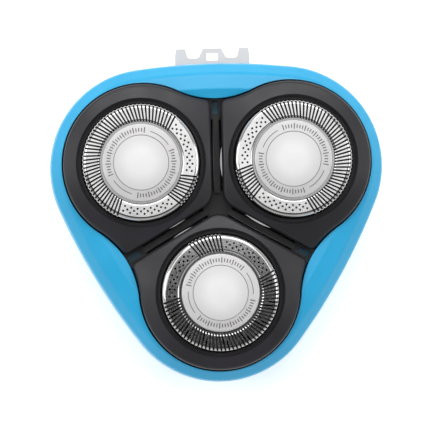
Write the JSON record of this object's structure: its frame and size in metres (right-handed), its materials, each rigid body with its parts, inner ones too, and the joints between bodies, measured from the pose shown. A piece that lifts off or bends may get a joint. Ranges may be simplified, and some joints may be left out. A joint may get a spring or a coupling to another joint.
{
  "type": "rotary shaver head unit",
  "caption": "Rounded-triangle rotary shaving head unit: blue housing, black flexing head frames, slotted steel guard caps with domed discs, cutters inside, and a silver hinge lug at the rear.",
  "frame": {"origin": "middle of the unit's footprint, hinge lug included, on the plane of the base rim", "axes": "+Z out of the shaving face, +Y towards the hinge lug at the rear, +X to the right seen from above with the rear at the top"},
  "size_m": [0.0686, 0.0692, 0.024],
  "materials": {
    "housing_blue": "moulded satin-gloss sky blue",
    "frame_black": "moulded satin black",
    "chassis_black": "moulded matte black",
    "cap_steel": "polished, fine turned grain",
    "disc_silver": "silver-white pearl",
    "blade_steel": "ground",
    "carrier_grey": "moulded light grey",
    "lock_grey": "moulded dark grey",
    "spring_steel": "bright spring wire",
    "bracket_silver": "silver-white moulded",
    "pin_steel": "bright"
  },
  "bodies": {
    "housing": {"head_housing": "housing_blue", "chassis": "chassis_black", "chassis_screws": "pin_steel", "bracket_pin": "pin_steel", "flex_springs_1": "spring_steel", "flex_springs_2": "spring_steel", "flex_springs_3": "spring_steel"},
    "bracket": {"lug_bracket": "bracket_silver"},
    "head_1": {"head_frame_1": "frame_black", "flex_pin_1": "pin_steel", "cap_spring_1": "spring_steel"},
    "lock_1": {"lock_ring_1": "lock_grey"},
    "guard_1": {"guard_cap_1": "cap_steel", "cap_disc_1": "disc_silver"},
    "cutter_unit_1": {"cutter_1": "blade_steel", "lifter_1": "spring_steel", "cutter_carrier_1": "carrier_grey"},
    "head_2": {"head_frame_2": "frame_black", "flex_pin_2": "pin_steel", "cap_spring_2": "spring_steel"},
    "lock_2": {"lock_ring_2": "lock_grey"},
    "guard_2": {"guard_cap_2": "cap_steel", "cap_disc_2": "disc_silver"},
    "cutter_unit_2": {"cutter_2": "blade_steel", "lifter_2": "spring_steel", "cutter_carrier_2": "carrier_grey"},
    "head_3": {"head_frame_3": "frame_black", "flex_pin_3": "pin_steel", "cap_spring_3": "spring_steel"},
    "lock_3": {"lock_ring_3": "lock_grey"},
    "guard_3": {"guard_cap_3": "cap_steel", "cap_disc_3": "disc_silver"},
    "cutter_unit_3": {"cutter_3": "blade_steel", "lifter_3": "spring_steel", "cutter_carrier_3": "carrier_grey"}
  },
  "joints": [
    {"name": "bracket_fold", "type": "hinge", "parent": "housing", "child": "bracket", "pos_m": [0, 0.027, 0.0042], "axis": [1, 0, 0], "range_deg": [-90, 10]},
    {"name": "head_flex_1", "type": "hinge", "parent": "housing", "child": "head_1", "pos_m": [-0.00286, 0.00345, 0.0196], "axis": [-0.5, -0.866, 0], "range_deg": [0, 5], "stiffness_Nm_per_rad": 0.01, "springref_deg": -11.46, "deforming": ["flex_springs_1"]},
    {"name": "lock_twist_1", "type": "hinge", "parent": "head_1", "child": "lock_1", "pos_m": [-0.01559, 0.0108, 0.0161], "axis": [0, 0, 1], "range_deg": [0, 45]},
    {"name": "guard_float_1", "type": "slide", "parent": "head_1", "child": "guard_1", "axis": [0, 0, -1], "range_m": [0, 0.0008], "stiffness_N_per_m": 200, "springref_m": -0.001, "deforming": ["cap_spring_1"]},
    {"name": "cutter_spin_1", "type": "hinge", "parent": "guard_1", "child": "cutter_unit_1", "pos_m": [-0.01559, 0.0108, 0.021], "axis": [0, 0, 1], "continuous": true},
    {"name": "head_flex_2", "type": "hinge", "parent": "housing", "child": "head_2", "pos_m": [0.00286, 0.00345, 0.0196], "axis": [-0.5, 0.866, 0], "range_deg": [0, 5], "stiffness_Nm_per_rad": 0.01, "springref_deg": -11.46, "deforming": ["flex_springs_2"]},
    {"name": "lock_twist_2", "type": "hinge", "parent": "head_2", "child": "lock_2", "pos_m": [0.01559, 0.0108, 0.0161], "axis": [0, 0, 1], "range_deg": [0, 45]},
    {"name": "guard_float_2", "type": "slide", "parent": "head_2", "child": "guard_2", "axis": [0, 0, -1], "range_m": [0, 0.0008], "stiffness_N_per_m": 200, "springref_m": -0.001, "deforming": ["cap_spring_2"]},
    {"name": "cutter_spin_2", "type": "hinge", "parent": "guard_2", "child": "cutter_unit_2", "pos_m": [0.01559, 0.0108, 0.021], "axis": [0, 0, 1], "continuous": true},
    {"name": "head_flex_3", "type": "hinge", "parent": "housing", "child": "head_3", "pos_m": [0, -0.0015, 0.0196], "axis": [1, 0, 0], "range_deg": [0, 5], "stiffness_Nm_per_rad": 0.01, "springref_deg": -11.46, "deforming": ["flex_springs_3"]},
    {"name": "lock_twist_3", "type": "hinge", "parent": "head_3", "child": "lock_3", "pos_m": [0, -0.0162, 0.0161], "axis": [0, 0, 1], "range_deg": [0, 45]},
    {"name": "guard_float_3", "type": "slide", "parent": "head_3", "child": "guard_3", "axis": [0, 0, -1], "range_m": [0, 0.0008], "stiffness_N_per_m": 200, "springref_m": -0.001, "deforming": ["cap_spring_3"]},
    {"name": "cutter_spin_3", "type": "hinge", "parent": "guard_3", "child": "cutter_unit_3", "pos_m": [0, -0.0162, 0.021], "axis": [0, 0, 1], "continuous": true}
  ]
}
